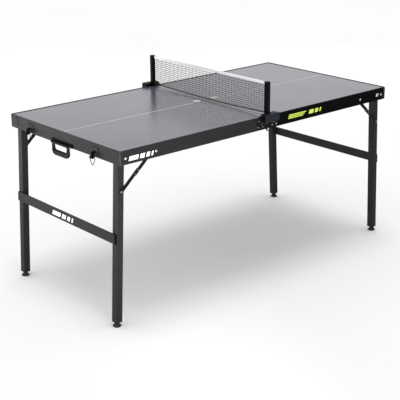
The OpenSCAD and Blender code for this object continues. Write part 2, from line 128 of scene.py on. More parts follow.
def add_lights():
    """A bright even room, soft light straight down, and softboxes at the left, in front and behind."""
    add_light("skylight", "SUN", (0, 0, 3), (0, 0, 0), SKYLIGHT).angle = math.radians(SKY_ANGLE)
    for name, place, target, size, spread, power in LIGHTS:
        data = add_light(name, "AREA", place, target, power)
        data.shape, data.size, data.size_y = "RECTANGLE", size[0], size[1]
        data.spread = math.radians(spread)
        bpy.data.objects[name].visible_camera = False
    world = bpy.data.worlds.new("studio")
    world.use_nodes = True
    world.node_tree.nodes["Background"].inputs["Color"].default_value = (1, 1, 1, 1)
    world.node_tree.nodes["Background"].inputs["Strength"].default_value = WORLD
    bpy.context.scene.world = world
    bpy.context.scene.view_settings.view_transform = "Standard"


# ---- Materials and floor ----


class Finish:
    """A principled material whose nodes are written in a few short calls.

    Its patterns follow the object's own space.
    """

    def __init__(self, name, metallic=0.0, specular=0.5):
        self.material = bpy.data.materials.new(name)
        self.material.use_nodes = True
        self.tree = self.material.node_tree
        self.shader = self.tree.nodes["Principled BSDF"]
        self.shader.inputs["Metallic"].default_value = metallic
        self.shader.inputs["Specular IOR Level"].default_value = specular
        coordinates = self.tree.nodes.new("ShaderNodeTexCoord")
        self.place, self.normal = coordinates.outputs["Object"], coordinates.outputs["Normal"]

    def put(self, socket, value):
        if isinstance(value, bpy.types.NodeSocket):
            self.tree.links.new(value, socket)
        else:
            socket.default_value = value

    def node(self, kind, inputs=(), **settings):
        made = self.tree.nodes.new(kind)
        for key, value in settings.items():
            setattr(made, key, value)
        for key, value in dict(inputs).items():
            self.put(made.inputs[key], value)
        return made

    def stretched(self, scale):
        return self.node("ShaderNodeMapping", {"Vector": self.place, "Scale": scale}).outputs[0]

    def noise(self, scale, detail, rough=0.55, place=None):
        inputs = {"Vector": place or self.place, "Scale": scale, "Detail": detail, "Roughness": rough}
        return self.node("ShaderNodeTexNoise", inputs).outputs["Fac"]

    def maths(self, operation, a, b=0.0, clamp=False):
        made = self.node("ShaderNodeMath", {0: a, 1: b}, operation=operation)
        made.use_clamp = clamp
        return made.outputs[0]

    def span(self, value, low_in, high_in, low_out, high_out):
        inputs = {"Value": value, 1: low_in, 2: high_in, 3: low_out, 4: high_out}
        return self.node("ShaderNodeMapRange", inputs).outputs[0]

    def mix(self, share, a, b):
        made = self.node("ShaderNodeMix", data_type="RGBA")
        for socket, value in zip((made.inputs[0], made.inputs[6], made.inputs[7]), (share, a, b)):
            self.put(socket, value if isinstance(value, (float, bpy.types.NodeSocket)) else (*value, 1))
        return made.outputs[2]

    def axis(self, letter, vector=None):
        parts = self.node("ShaderNodeSeparateXYZ", {"Vector": vector or self.place})
        return parts.outputs[letter.upper()]

    def edges(self, radius):
        """1 on edges that stick out by about this radius, 0 on flat faces."""
        soft = self.node("ShaderNodeBevel", {"Radius": radius}, samples=4).outputs[0]
        sharp = self.node("ShaderNodeNewGeometry").outputs["Normal"]
        dot = self.node("ShaderNodeVectorMath", {0: soft, 1: sharp}, operation="DOT_PRODUCT").outputs["Value"]
        return self.span(dot, 0.995, 0.86, 0.0, 1.0)

    def finish(self, colour, roughness, height=None, depth=0.0, strength=1.0):
        self.put(self.shader.inputs["Base Color"], colour)
        self.put(self.shader.inputs["Roughness"], roughness)
        if height is not None:
            inputs = {"Height": height, "Distance": depth, "Strength": strength}
            self.put(self.shader.inputs["Normal"], self.node("ShaderNodeBump", inputs).outputs[0])
        return self.material


def shade(level, tint=(1.0, 1.0, 1.0)):
    """A colour of this brightness, in a tint."""
    return tuple(level * t for t in tint)


def powder_coat(name, level, roughness=0.42, specular=0.08, wear=0.10):
    """Baked powder paint: orange peel, a faint mottle, and edges lightened towards the brightness wear, partly
    scuffed paint and partly a painted highlight.
    """
    f = Finish(name, specular=specular)
    tint = (1, 1, 1.06)
    mottle = f.span(f.noise(9, 4), 0.3, 0.7, 0.0, 1.0)
    fine = f.noise(1300, 2)
    base = f.mix(mottle, shade(level * 0.88, tint), shade(level * 1.12, tint))
    base = f.mix(f.span(fine, 0.62, 0.8, 0.0, 0.25), base, shade(level * 2.2, tint))
    # lighter edges: partly scuffed paint, partly a painted highlight
    rubbed_and_highlit = f.maths("MULTIPLY", f.edges(0.9 * MM), f.span(f.noise(45, 4), 0.45, 0.75, 0.05, 0.6))
    base = f.mix(rubbed_and_highlit, base, shade(wear, tint))
    rough = f.span(f.noise(60, 4), 0.3, 0.7, roughness - 0.05, roughness + 0.07)
    return f.finish(base, rough, fine, 0.06 * MM, 0.7)


def board_paint():
    """Satin grey lacquer over fibreboard, dark on the board's edges and a dark sealer underneath."""
    f = Finish("board_lacquer")
    violet = (1, 0.96, 1.32)
    grain = f.noise(950, 3)
    cloud = f.span(f.noise(3.5, 3), 0.3, 0.7, 0.0, 1.0)
    top = f.mix(cloud, shade(0.080, violet), shade(0.087, violet))
    top = f.mix(f.span(grain, 0.55, 0.8, 0.0, 0.15), top, shade(0.13))
    fibres = f.noise(240, 5, place=f.stretched((1, 1, 3)))
    bare = f.mix(f.span(fibres, 0.35, 0.65, 0.0, 1.0), shade(0.055), shade(0.085, (1, 0.98, 0.95)))
    facing = f.axis("z", f.normal)
    colour = f.mix(f.span(facing, -0.6, -0.5, 1.0, 0.0), top, bare)
    edging = f.span(f.maths("ABSOLUTE", facing), 0.5, 0.4, 0.0, 1.0)
    colour = f.mix(edging, colour, shade(0.03))
    scuffs = f.span(f.noise(30, 6, 0.7, f.stretched((1, 0.25, 1))), 0.6, 0.8, 0.0, 0.03)
    rough = f.maths("ADD", f.span(f.noise(5, 2), 0.3, 0.7, 0.235, 0.255), scuffs)
    return f.finish(colour, rough, grain, 0.03 * MM, 0.5)


def plated_steel(name, level):
    """Zinc plated steel with a fine drawn grain and a few dull patches."""
    f = Finish(name, metallic=1.0)
    drawn = f.noise(900, 4, place=f.stretched((1, 0.12, 1)))
    dull = f.span(f.noise(160, 4), 0.4, 0.7, 0.0, 1.0)
    colour = f.mix(dull, shade(level, (1, 1.01, 1.04)), shade(level * 0.75))
    return f.finish(colour, f.span(dull, 0, 1, 0.24, 0.42), drawn, 0.03 * MM, 0.5)


def moulded_plastic(name, colour, roughness=0.46):
    """Injection moulded plastic with a spark-eroded grain, lighter on its edges: partly wear from hands, partly a
    painted sheen.
    """
    f = Finish(name, specular=0.05)
    grain = f.node("ShaderNodeTexVoronoi", {"Vector": f.place, "Scale": 1500.0}).outputs["Distance"]
    tone = f.span(f.noise(25, 3), 0.3, 0.7, 0.0, 1.0)
    base = f.mix(tone, shade(0.9, colour), shade(1.12, colour))
    # lighter edges: partly wear, partly a painted sheen
    handled_and_sheen = f.maths("MULTIPLY", f.edges(0.8 * MM), 0.35)
    base = f.mix(handled_and_sheen, base, tuple(c * 1.9 + 0.01 for c in colour))
    return f.finish(base, f.span(tone, 0, 1, roughness - 0.04, roughness + 0.06), grain, 0.05 * MM, 0.6)


def rubber():
    """Matte black rubber, dusty towards the floor."""
    f = Finish("foot_rubber", specular=0.25)
    dust = f.span(f.noise(120, 5), 0.45, 0.75, 0.0, 0.6)
    low_down = f.span(f.axis("z"), 0.0, 0.006, 0.7, 0.15)
    colour = f.mix(f.maths("MULTIPLY", dust, low_down), shade(0.014), shade(0.07, (1, 0.97, 0.92)))
    return f.finish(colour, f.span(dust, 0, 0.6, 0.66, 0.9), f.noise(1100, 3), 0.07 * MM, 0.8)


def thread():
    """Twisted nylon thread: a slanting ply with a bump, and lighter colour along it where it would catch the
    light: a painted highlight.
    """
    f = Finish("net_thread", specular=0.25)
    inputs = {"Vector": f.place, "Scale": 620.0, "Distortion": 1.5, "Detail": 1.0}
    twist = f.node("ShaderNodeTexWave", inputs, bands_direction="DIAGONAL").outputs["Fac"]
    # the lighter stripes along the ply are a painted highlight
    colour = f.mix(twist, shade(0.010), shade(0.03, (1, 1, 1.05)))
    return f.finish(colour, f.span(twist, 0, 1, 0.9, 0.7), twist, 0.08 * MM, 0.8)


def tape_cloth():
    """White woven cotton tape: crossing yarns about 0.7 mm apart, with painted shade in the creases between them.
    """
    f = Finish("tape_cotton", specular=0.2)
    cool = (0.98, 0.97, 1.0)
    inputs = {"Vector": f.place, "Scale": 230.0, "Distortion": 0.6}
    weft, warp = (f.node("ShaderNodeTexWave", inputs, bands_direction=d).outputs["Fac"] for d in "YZ")
    weave = f.maths("MULTIPLY", weft, warp)
    soil = f.span(f.noise(22, 5), 0.35, 0.75, 0.0, 1.0)
    colour = f.mix(soil, shade(0.93, cool), shade(0.86, cool))
    # grey where the yarns dip: painted shade in the weave's creases
    colour = f.mix(f.span(weave, 0.0, 0.25, 0.25, 0.0), colour, shade(0.5))
    f.shader.inputs["Sheen Weight"].default_value = 0.15
    return f.finish(colour, f.span(weave, 0, 1, 0.95, 0.8), weave, 0.12 * MM, 0.8)


def printed_ink(name, colour):
    """Screen-printed ink with pinholes where the paint's texture shows through."""
    f = Finish(name, specular=0.3)
    pits = f.span(f.noise(700, 4), 0.30, 0.40, 0.6, 0.0)
    wear = f.span(f.noise(55, 5), 0.62, 0.8, 0.0, 0.35)
    colour = f.mix(f.maths("ADD", pits, wear, clamp=True), colour, shade(0.35, colour))
    return f.finish(colour, f.span(wear, 0, 0.35, 0.42, 0.6), f.noise(900, 2), 0.03 * MM, 0.6)


M = {
    "board": board_paint(),
    "apron": powder_coat("apron_powder_coat", 0.014),
    # a lighter paint for the strips down the table's corners: a painted highlight
    "corner_highlight": powder_coat("corner_edge_painted_highlight", 0.06, wear=0.3),
    # a darker copy of the apron paint for the right half's near apron: painted shade
    "shaded": powder_coat("apron_powder_coat_painted_shade", 0.003, specular=0.012, wear=0.03),
    "tube": powder_coat("tube_powder_coat", 0.016, roughness=0.4),
    # the guards' edges are lightened far more than the aprons': a painted highlight down the corners, on top of
    # scuffed paint
    "guard": powder_coat("guard_powder_coat", 0.014, wear=0.45),
    "fitting": powder_coat("fitting_powder_coat", 0.004, roughness=0.48),
    "black": powder_coat("black_lacquer", 0.0015, roughness=0.5, specular=0.03, wear=0.02),
    "steel": plated_steel("zinc_plated_steel", 0.62),
    "dull": plated_steel("dulled_steel", 0.30),
    "plastic": moulded_plastic("black_plastic", (0.003, 0.003, 0.0034)),
    "grip": moulded_plastic("grip_plastic", (0.012, 0.012, 0.013), 0.5),
    "cover": moulded_plastic("cover_plastic", (0.014, 0.019, 0.024), 0.42),
    "rubber": rubber(),
    "thread": thread(),
    "tape": tape_cloth(),
    "white": printed_ink("white_ink", (0.80, 0.80, 0.80)),
    "lime": printed_ink("lime_ink", (0.66, 0.84, 0.10)),
    "pale": printed_ink("pale_lime_ink", (0.92, 0.94, 0.78)),
    "line": printed_ink("line_ink", (0.50, 0.51, 0.43)),
    # dark strips along the seam: partly edging, partly painted shade of the gap
    "edging": moulded_plastic("seam_edging_and_painted_shade", (0.004, 0.004, 0.005), 0.4),
}

FLOOR_HALF = 40


def add_floor():
    """A plain pale floor with the faintest mottle."""
    f = Finish("studio_floor", specular=0.1)
    tone = f.span(f.noise(0.8, 2), 0.3, 0.7, 0.0, 1.0)
    material = f.finish(f.mix(tone, shade(0.89), shade(0.91)), f.span(tone, 0, 1, 0.85, 0.95))
    bm = bmesh.new()
    bmesh.ops.create_grid(bm, x_segments=4, y_segments=4, size=FLOOR_HALF)
    mesh = bpy.data.meshes.new("floor")
    bm.to_mesh(mesh)
    bm.free()
    mesh.materials.append(material)
    floor = bpy.data.objects.new("floor", mesh)
    bpy.context.collection.objects.link(floor)


# ---- Mesh helpers ----


def piece(name, bm, material, body, replaces=(), sharp=35):
    """Turns a bmesh into a named object that rides on a body.

    It is smooth except on edges sharper than sharp degrees.
    """
    bmesh.ops.remove_doubles(bm, verts=bm.verts, dist=1e-7)
    bmesh.ops.recalc_face_normals(bm, faces=bm.faces)
    mesh = bpy.data.meshes.new(name)
    bm.to_mesh(mesh)
    bm.free()
    mesh.shade_smooth()
    mesh.set_sharp_from_angle(angle=math.radians(sharp))
    mesh.materials.append(M[material])
    obj = bpy.data.objects.new(name, mesh)
    bpy.context.collection.objects.link(obj)
    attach(obj, body)
    if replaces:
        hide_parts(*replaces)
    return obj


def faces_between(bm, rings, caps=True):
    """Skins a row of closed rings of vertices that all have the same count."""
    n = len(rings[0])
    for a, b in zip(rings, rings[1:]):
        for i in range(n):
            j = (i + 1) % n
            bm.faces.new((a[i], a[j], b[j], b[i]))
    if caps:
        bm.faces.new(rings[0][::-1])
        bm.faces.new(rings[-1])


def across(direction):
    """Two unit vectors square to a direction, so that the three are right-handed."""
    d = direction.normalized()
    u = (Z if abs(d.z) < 0.9 else X).cross(d).normalized()
    return u, d.cross(u)


def lathe(bm, profile, base, direction, steps=24, ripple=None):
    """Revolves (distance along, radius) pairs about the line from base along direction.

    A ripple is a function of the distance and the angle, and multiplies the radius.
    """
    u, v = across(direction)
    rings = []
    for t, r in profile:
        ring = []
        for i in range(steps):
            a = 2 * math.pi * i / steps
            here = r * (ripple(t, a) if ripple else 1.0)
            outward = u * math.cos(a) + v * math.sin(a)
            ring.append(bm.verts.new(base + direction.normalized() * t + outward * here))
        rings.append(ring)
    faces_between(bm, rings)


def tube(bm, path, radius, sides, radii=None):
    """A tube along a list of points, with its section kept from twisting; radii gives one radius a point."""
    rings, u = [], None
    for i, p in enumerate(path):
        d = (path[min(i + 1, len(path) - 1)] - path[max(i - 1, 0)]).normalized()
        u = across(d)[0] if u is None else (u - d * u.dot(d)).normalized()
        v, r = d.cross(u), radii[i] if radii else radius
        turn = [2 * math.pi * k / sides for k in range(sides)]
        rings.append([bm.verts.new(p + (u * math.cos(a) + v * math.sin(a)) * r) for a in turn])
    faces_between(bm, rings)


def rounded_loop(width, height, radius, steps=6, low_radius=None):
    """Points round a rectangle with round corners, centred on 0, 0.

    The two lower corners may have a radius of their own.
    """
    points = []
    for k, (sx, sy) in enumerate(((1, 1), (-1, 1), (-1, -1), (1, -1))):
        r = low_radius if low_radius and sy < 0 else radius
        for i in range(steps + 1):
            a = math.pi / 2 * (k + i / steps)
            points.append((sx * (width / 2 - r) + r * math.cos(a), sy * (height / 2 - r) + r * math.sin(a)))
    return points


def softened(points, rounds=3):
    """Cuts the corners of an open path, and keeps its two ends."""
    for _ in range(rounds):
        cut = [points[0]]
        for a, b in zip(points, points[1:]):
            cut += [a.lerp(b, 0.25), a.lerp(b, 0.75)]
        points = cut + [points[-1]]
    return points


def solids(node):
    """The box of each separate solid of a CAD node."""
    bm = bmesh.new()
    bm.from_mesh(frame["nodes"][node].data)
    bmesh.ops.remove_doubles(bm, verts=bm.verts, dist=1e-6)
    left, boxes = set(bm.verts), []
    while left:
        stack, found = [left.pop()], []
        while stack:
            v = stack.pop()
            found.append(v.co.copy())
            for e in v.link_edges:
                o = e.other_vert(v)
                if o in left:
                    left.remove(o)
                    stack.append(o)
        boxes.append((Vector(map(min, zip(*found))), Vector(map(max, zip(*found)))))
    bm.free()
    return boxes


# ---- Fasteners ----


def cross_recess_head(bm, base, direction, radius, height):
    """A pan head screw with a cross recess, standing on base."""
    u, v = across(direction)
    d = direction.normalized()

    def at(x, y, z):
        return bm.verts.new(base + u * x + v * y + d * z)

    steps, arm, slot_w = 24, radius * 0.52, radius * 0.13
    dome = [(0.0, 0.97), (0.18, 1.0), (0.5, 0.95), (0.78, 0.83), (0.94, 0.68)]  # shares of height and radius
    turn = [2 * math.pi * (i + 0.5) / steps for i in range(steps)]
    rings = []
    for share, wide in dome:
        r = radius * wide
        rings.append([at(r * math.cos(a), r * math.sin(a), height * share) for a in turn])
    faces_between(bm, rings, caps=False)
    bm.faces.new(rings[0][::-1])
    cross = []
    for k in range(4):
        c, s = math.cos(math.pi / 2 * k), math.sin(math.pi / 2 * k)
        for x, y in ((arm, -slot_w), (arm, slot_w), (slot_w, slot_w)):
            cross.append((x * c - y * s, x * s + y * c))
    rim = [at(x, y, height) for x, y in cross]
    taper, depth = 0.8, 0.35
    floor = [at(x * taper, y * taper, height * depth) for x, y in cross]
    loops = []
    for ring in (rings[-1], rim):
        for pair in zip(ring, ring[1:] + ring[:1]):
            loops.append(bm.edges.get(pair) or bm.edges.new(pair))
    bmesh.ops.triangle_fill(bm, edges=loops, use_beauty=True)
    faces_between(bm, [rim, floor], caps=False)
    bm.faces.new(floor)


def add_screws():
    """Bright screws in the side aprons and black ones in the end aprons."""
    for side in ENDS:
        bright, black = bmesh.new(), bmesh.new()
        for lo, hi in solids(side + "_screws"):
            size, middle = hi - lo, (lo + hi) / 2
            along, bm = (X, black) if size.x < size.y else (Y, bright)
            outward = along * (1 if middle.dot(along) > 0 else -1)
            thick = size.dot(along)
            cross_recess_head(bm, middle - outward * thick / 2, outward, size.z / 2, thick * 1.05)
        finish = "dull" if side == "left" else "steel"
        piece(side + "_screw_heads", bright, finish, side + "_half", [side + "_screws"], sharp=40)
        piece(side + "_black_screw_heads", black, "fitting", side + "_half", sharp=40)


def domed(radius, height):
    """The profile of a domed rivet head with a small upright rim."""
    rim, crown, steps = 0.18, 0.02, 5  # the first two are shares of the height and of the radius
    profile = [(0.0, radius), (height * rim, radius)]
    for i in range(1, steps + 1):
        a = math.pi / 2 * i / steps
        rise, wide = rim + (1 - rim) * math.sin(a), (1 - crown) * math.cos(a) + crown
        profile.append((height * rise, radius * wide))
    return profile


def add_pivot_pins():
    """Leg and brace pins: a shank, a domed head outside the apron and a nut or a flat head inside."""
    long_pin = 40 * MM  # leg pins are longer than this, brace pins shorter
    nut = [(0, 6.6 * MM), (0.4 * MM, 7 * MM), (5.7 * MM, 7 * MM)]
    flat_head = [(0, 4.9 * MM), (1.15 * MM, 4.9 * MM)]
    for end in ENDS:
        bm = bmesh.new()
        apron = high(end + "_apron_far").y
        for lo, hi in solids(end + "_pivot_pins"):
            outward = Y if hi.y > 0 else -Y
            length = hi.y - lo.y
            axis = Vector(((lo.x + hi.x) / 2, 0, (lo.z + hi.z) / 2))
            inner = min(abs(lo.y), abs(hi.y))
            shank = (4.0 if length > long_pin else 3.0) * MM
            lathe(bm, [(inner + 1 * MM, shank), (apron + 0.1 * MM, shank)], axis, outward)
            lathe(bm, [(apron + t, r) for t, r in domed(5.5 * MM, 2.0 * MM)], axis, outward)
            back, steps = (nut, 6) if length > long_pin else (flat_head, 24)
            lathe(bm, [(inner + t, r) for t, r in back], axis, outward, steps)
        piece(end + "_pins", bm, "steel", end + "_half", [end + "_pivot_pins"], sharp=40)


def add_brace_rivets():
    """Rivet heads on the links: two at the middle pivot and one on the upper link's tail."""
    width, tail = 15 * MM, 21 * MM  # of a link
    plain_head = 1.6 * MM  # height of the CAD's own heads, which these cover
    for end in ENDS:
        for side, s in SIDES.items():
            lower, upper = f"{end}_link_lower_{side}", f"{end}_link_upper_{side}"
            a = pivot(f"{end}_lower_link_{side}_turn")
            b = pivot(f"{end}_upper_link_{side}_turn")
            line = (Vector((b.x, 0, b.z)) - Vector((a.x, 0, a.z))).normalized()
            lo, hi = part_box(lower)
            middle = Vector((a.x, 0, a.z)) + line * ((hi.x - lo.x - width) / abs(line.x))
            outward = Y * s
            bm = bmesh.new()
            face = max(abs(low(upper).y), abs(high(upper).y)) - plain_head
            lathe(bm, [(face + t, r) for t, r in domed(5.2 * MM, 2.0 * MM)], middle, outward)
            lathe(bm, [(face + t, r) for t, r in domed(3.7 * MM, 1.5 * MM)], middle - line * tail, outward)
            piece(upper + "_rivets", bm, "dull", upper, sharp=40)
            bm = bmesh.new()
            face = min(abs(lo.y), abs(hi.y)) + plain_head
            lathe(bm, [(t, r) for t, r in domed(5.2 * MM, 1.8 * MM)], middle + outward * face, -outward)
            piece(lower + "_rivet", bm, "dull", lower, sharp=40)


# ---- Net ----

NET_PITCH, ROW_PITCH = 10 * MM, 9 * MM
THREAD_R = 0.95 * MM
KNOT = 1.4  # how much thicker a thread is at its knots
TAPE_H = 12.5 * MM
NET_SAG = 8 * MM  # the hem hangs this far below its ends
POSTS = ["net_post_near", "net_post_far"]


def add_net():
    """The net's threads with a knot at each crossing, its hem, and the tape along its top."""
    lo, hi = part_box("net_mesh")
    tape_lo, tape_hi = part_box("net_tape")
    left, right = lo.y + 2 * MM, hi.y - 2 * MM
    hem, tuck = 5 * MM, 1.5 * MM  # the hem's height, and how far the threads reach into the tape
    columns = round((right - left) / NET_PITCH)
    rows = round((hi.z - lo.z) / ROW_PITCH)

    def sag(y):
        return NET_SAG * (1 - (2 * y / (right - left)) ** 2)

    def knot(i, j):
        y = left + (right - left) * i / columns
        foot = lo.z - sag(y)
        z = foot + (tape_hi.z - TAPE_H + tuck - foot) * j / rows
        stray = Vector((rng.uniform(-0.3, 0.3), rng.uniform(-0.4, 0.4), rng.uniform(-0.3, 0.3)))
        return stray * MM + Vector((0, y, z))

    knots = {(i, j): knot(i, j) for i in range(columns + 1) for j in range(rows + 1)}
    bm = bmesh.new()
    lines = [[knots[i, j] for j in range(rows + 1)] for i in range(columns + 1)]
    lines += [[knots[i, j] for i in range(columns + 1)] for j in range(1, rows)]
    for line in lines:
        path, radii = [line[0]], [THREAD_R * KNOT]
        for a, b in zip(line, line[1:]):
            path += [a.lerp(b, 0.2), a.lerp(b, 0.8), b]
            radii += [THREAD_R, THREAD_R, THREAD_R * KNOT]
        tube(bm, path, THREAD_R, sides=4, radii=radii)
    threads = piece("net_threads", bm, "thread", "net_set", ["net_mesh"], sharp=60)

    bm = bmesh.new()
    strip = [(-0.9, 0), (-1.1, 0.5), (-1.0, 1), (0, 1.08), (1.0, 1), (1.1, 0.5), (0.9, 0)]  # mm, share of hem
    rings = []
    steps = columns * 2
    for i in range(steps + 1):
        y = lo.y + (hi.y - lo.y) * i / steps
        rings.append([bm.verts.new((x * MM, y, lo.z - max(sag(y), 0) + z * hem)) for x, z in strip])
    faces_between(bm, rings)
    piece("net_bottom_hem", bm, "thread", "net_set", sharp=60)
    add_tape(tape_lo, tape_hi)


def add_tape(lo, hi):
    """The white tape, folded over a cord and stitched along its lower edge."""
    foot, half = hi.z - TAPE_H, (hi.x - lo.x) / 2
    bare, pinched = 7 * MM, 20 * MM  # the cord's bare ends, and where the tape narrows towards them
    left, right = lo.y + bare, hi.y - bare
    side = [(0.55, 0.0), (0.62, 0.10), (0.50, 0.16), (0.72, 0.35)]  # shares of half and of TAPE_H
    side += [(0.80, 0.6), (0.92, 0.80), (0.80, 0.93), (0.35, 1.0)]
    section = [(-x, z) for x, z in side] + [(x, z) for x, z in side[::-1]]
    steps, slack = 120, 0.5 * MM
    bm = bmesh.new()
    rings = []
    for i in range(steps + 1):
        y = left + (right - left) * i / steps
        puff = 1 + 0.06 * math.sin(i * 1.9) + 0.04 * math.sin(i * 0.73 + 1)
        sag = slack * math.sin(math.pi * i / steps)
        full = 1 - 0.3 * max(0.0, 1 - min(y - left, right - y) / pinched) ** 2
        wide, tall = half * puff * full, TAPE_H * full
        rings.append([bm.verts.new((x * wide, y, foot + z * tall - sag)) for x, z in section])
    for a, b in zip(rings, rings[1:]):
        for k in range(len(section) - 1):
            bm.faces.new((a[k], a[k + 1], b[k + 1], b[k]))
    tape = piece("net_top_tape", bm, "tape", "net_set", ["net_tape"], sharp=60)
    cloth = tape.modifiers.new("cloth", "SOLIDIFY")
    cloth.thickness, cloth.offset = 0.4 * MM, -1

    bm = bmesh.new()
    stitch, gap, yarn = 2.6 * MM, 1.0 * MM, 0.22 * MM
    count = int((right - left - 2 * pinched) / (stitch + gap))
    for s in (-1, 1):
        x, z = s * half * 0.60, foot + TAPE_H * 0.16
        for i in range(count):
            y = left + pinched + i * (stitch + gap)
            rise = ((0.7, 0), (1.12, 0.3), (1.12, 0.7), (0.7, 1))
            tube(bm, [Vector((x * out, y + along * stitch, z)) for out, along in rise], yarn, sides=4)
    piece("net_tape_stitches", bm, "tape", "net_set", sharp=60)

    bm = bmesh.new()
    cord, into_post, z = 1.35 * MM, 3 * MM, hi.z - 2.6 * MM
    tube(bm, [Vector((0, lo.y - into_post, z)), Vector((0, hi.y + into_post, z))], cord, sides=10)
    piece("net_top_cord", bm, "thread", "net_set", sharp=60)


def add_clamp_covers():
    """Soft-edged covers on the clamps' outer faces, each with a shallow recessed panel."""
    bm = bmesh.new()
    for lo, hi in solids("net_clamp_covers"):
        s = 1 if hi.y > 0 else -1
        middle, size = (lo + hi) / 2, hi - lo
        inner, outer = (lo.y, hi.y) if s > 0 else (hi.y, lo.y)
        # inset in mm and share of the depth, from the back edge over the rim and into the panel
        layers = [(0.0, 0.0), (0.0, 0.55), (0.6, 0.85), (1.6, 1.0), (5.0, 1.0), (5.8, 0.72), (9.0, 0.66)]
        rings = []
        for inset, depth in layers:
            radius = max(6 - inset * 0.5, 1.2) * MM
            loop = rounded_loop(size.x - 2 * inset * MM, size.z - 2 * inset * MM, radius)
            y = inner + (outer - inner) * depth
            rings.append([bm.verts.new((middle.x + u * s, y, middle.z + v)) for u, v in loop])
        faces_between(bm, rings)
    piece("clamp_cover_plates", bm, "cover", "net_set", ["net_clamp_covers"], sharp=30)


# ---- Handle and latches ----


def add_handle():
    """The carry handle: one moulded loop, thicker and fuller along the bar that the hand holds."""
    lo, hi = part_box("handle_grip")
    hinge = pivot("handle_swing")
    width, height = hi.y - lo.y, hi.z - lo.z
    knuckle = hi.z - hinge.z
    cheeks, grip = 24 * MM, 22 * MM  # the two arms' widths together, and the bar's height
    hole_top, hole_bottom = hinge.z - knuckle, lo.z + grip
    outer = rounded_loop(width, height, 5 * MM, 10, low_radius=21 * MM)
    inner = rounded_loop(width - cheeks, hole_top - hole_bottom, 5 * MM, 10, low_radius=8 * MM)
    outer_mid, inner_mid = (hi.z + lo.z) / 2, (hole_top + hole_bottom) / 2
    bar, arm, fullness = (hi.x - lo.x) / 2, 5.5 * MM, 1.5 * MM
    fade_from, fade_over = 14 * MM, 20 * MM  # the arm grows into the bar below the hinge
    steps, squareness = 20, 0.6
    bm = bmesh.new()
    rings = []
    for (oy, oz), (iy, iz) in zip(outer, inner):
        belly = fullness * max(0.0, -oz / height * 2) * math.cos(math.pi * oy / width)
        o, i = Vector((hinge.x, oy, outer_mid + oz - belly)), Vector((hinge.x, iy, inner_mid + iz))
        middle, reach = (o + i) / 2, (o - i) / 2
        share = min(max((hinge.z - fade_from - middle.z) / fade_over, 0), 1)
        half = arm + (bar - arm) * share * share * (3 - 2 * share)
        ring = []
        for k in range(steps):
            a = 2 * math.pi * (k + 0.5) / steps
            c, s = math.cos(a), math.sin(a)
            c, s = (math.copysign(abs(t) ** squareness, t) for t in (c, s))
            ring.append(bm.verts.new(middle + reach * c + X * half * s))
        rings.append(ring)
    faces_between(bm, rings + rings[:1], caps=False)
    piece("handle_loop", bm, "grip", "handle", ["handle_grip"], sharp=70)


def add_bails():
    """The wire bail that hangs from each latch lever, bent to a rounded point."""
    wire, inner_end = 1.5 * MM, 7.5 * MM
    for side in SIDES:
        at = pivot(f"latch_bail_{side}_turn")
        lo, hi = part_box("latch_bail_" + side)
        half, drop = (hi.y - lo.y) / 2 - wire, at.z - lo.z - wire
        bend = [(inner_end, 0), (half, 0), (half, -0.3 * drop)]
        bend += [(0.72 * half, -0.56 * drop), (0.3 * half, -0.93 * drop), (0, -drop)]
        right = [Vector((at.x, at.y + y, at.z + z)) for y, z in bend]
        left = [Vector((p.x, 2 * at.y - p.y, p.z)) for p in right[:-1]]
        bm = bmesh.new()
        tube(bm, softened(right + left[::-1]), wire, sides=10)
        piece("bail_wire_" + side, bm, "fitting", "latch_bail_" + side, ["latch_bail_" + side], sharp=60)


# ---- Feet ----


def rib(distance, angle):
    """24 shallow grooves round the rim of a foot's pad."""
    return 1 - (0.022 if 0.5 * MM < distance < 4.8 * MM and math.sin(angle * 24) > 0 else 0)


def add_feet():
    """A rubber pad with a ribbed rim and a tall collar, on a threaded stem that leans with its leg."""
    pitch, stem, depth, start = 1.25 * MM, 3.95 * MM, 0.12, 8 * MM

    def screw(distance, angle):
        return 1 - depth * abs(((distance / pitch - angle / 2 / math.pi) % 1) * 2 - 1)

    for end in ENDS:
        top = low(end + "_leg_plugs").z - 1.2 * MM
        pad = [(0.0, 16.5), (1.0, 17.5), (4.6, 17.5), (5.4, 16.7), (7.0, 14.0), (8.8, 12.0), (11.0, 11.2)]
        pad = [(t * MM, r * MM) for t, r in pad] + [(top - 0.8 * MM, 11.0 * MM), (top, 10.2 * MM)]
        for side in SIDES:
            name = f"{end}_foot_{side}"
            base = Vector(MOUNTS[f"{end}_{side}_foot_face"]["pos_m"])
            up = -Vector(JOINTS[f"{end}_foot_{side}_level"]["axis"])
            bm = bmesh.new()
            lathe(bm, pad, base, Z, 96, rib)
            piece(name + "_pad", bm, "rubber", name, [name], sharp=30)
            bm = bmesh.new()
            count = int((high(name).z - start) / pitch * 4)
            lathe(bm, [(start + i * pitch / 4, stem) for i in range(count)], base, up, 16, screw)
            piece(name + "_stem", bm, "dull", name, sharp=30)


# ---- Printed marks ----

INK_LOW, INK_HIGH = -0.1 * MM, 0.15 * MM  # a patch of ink starts just under the surface


def ink_quad(bm, corners, outward):
    """A thin raised patch of ink on four corners."""
    rings = [[bm.verts.new(c + outward * t) for c in corners] for t in (INK_LOW, INK_HIGH)]
    faces_between(bm, rings)


def stroke(bm, a, b, width, outward):
    """A straight stroke of ink from a to b."""
    across_it = (b - a).cross(outward).normalized() * width / 2
    ink_quad(bm, [a - across_it, b - across_it, b + across_it, a + across_it], outward)


def slanted_bars(bm, spans, origin, along, up, outward, height):
    """Parallelograms of ink, each from one distance in mm to another along a line."""
    slant = 0.3  # how far a bar leans, as a share of its height
    for a, b in spans:
        corners = [(a, 0), (b, 0), (b + slant * height, height), (a + slant * height, height)]
        ink_quad(bm, [origin + along * u * MM + up * v * MM for u, v in corners], outward)


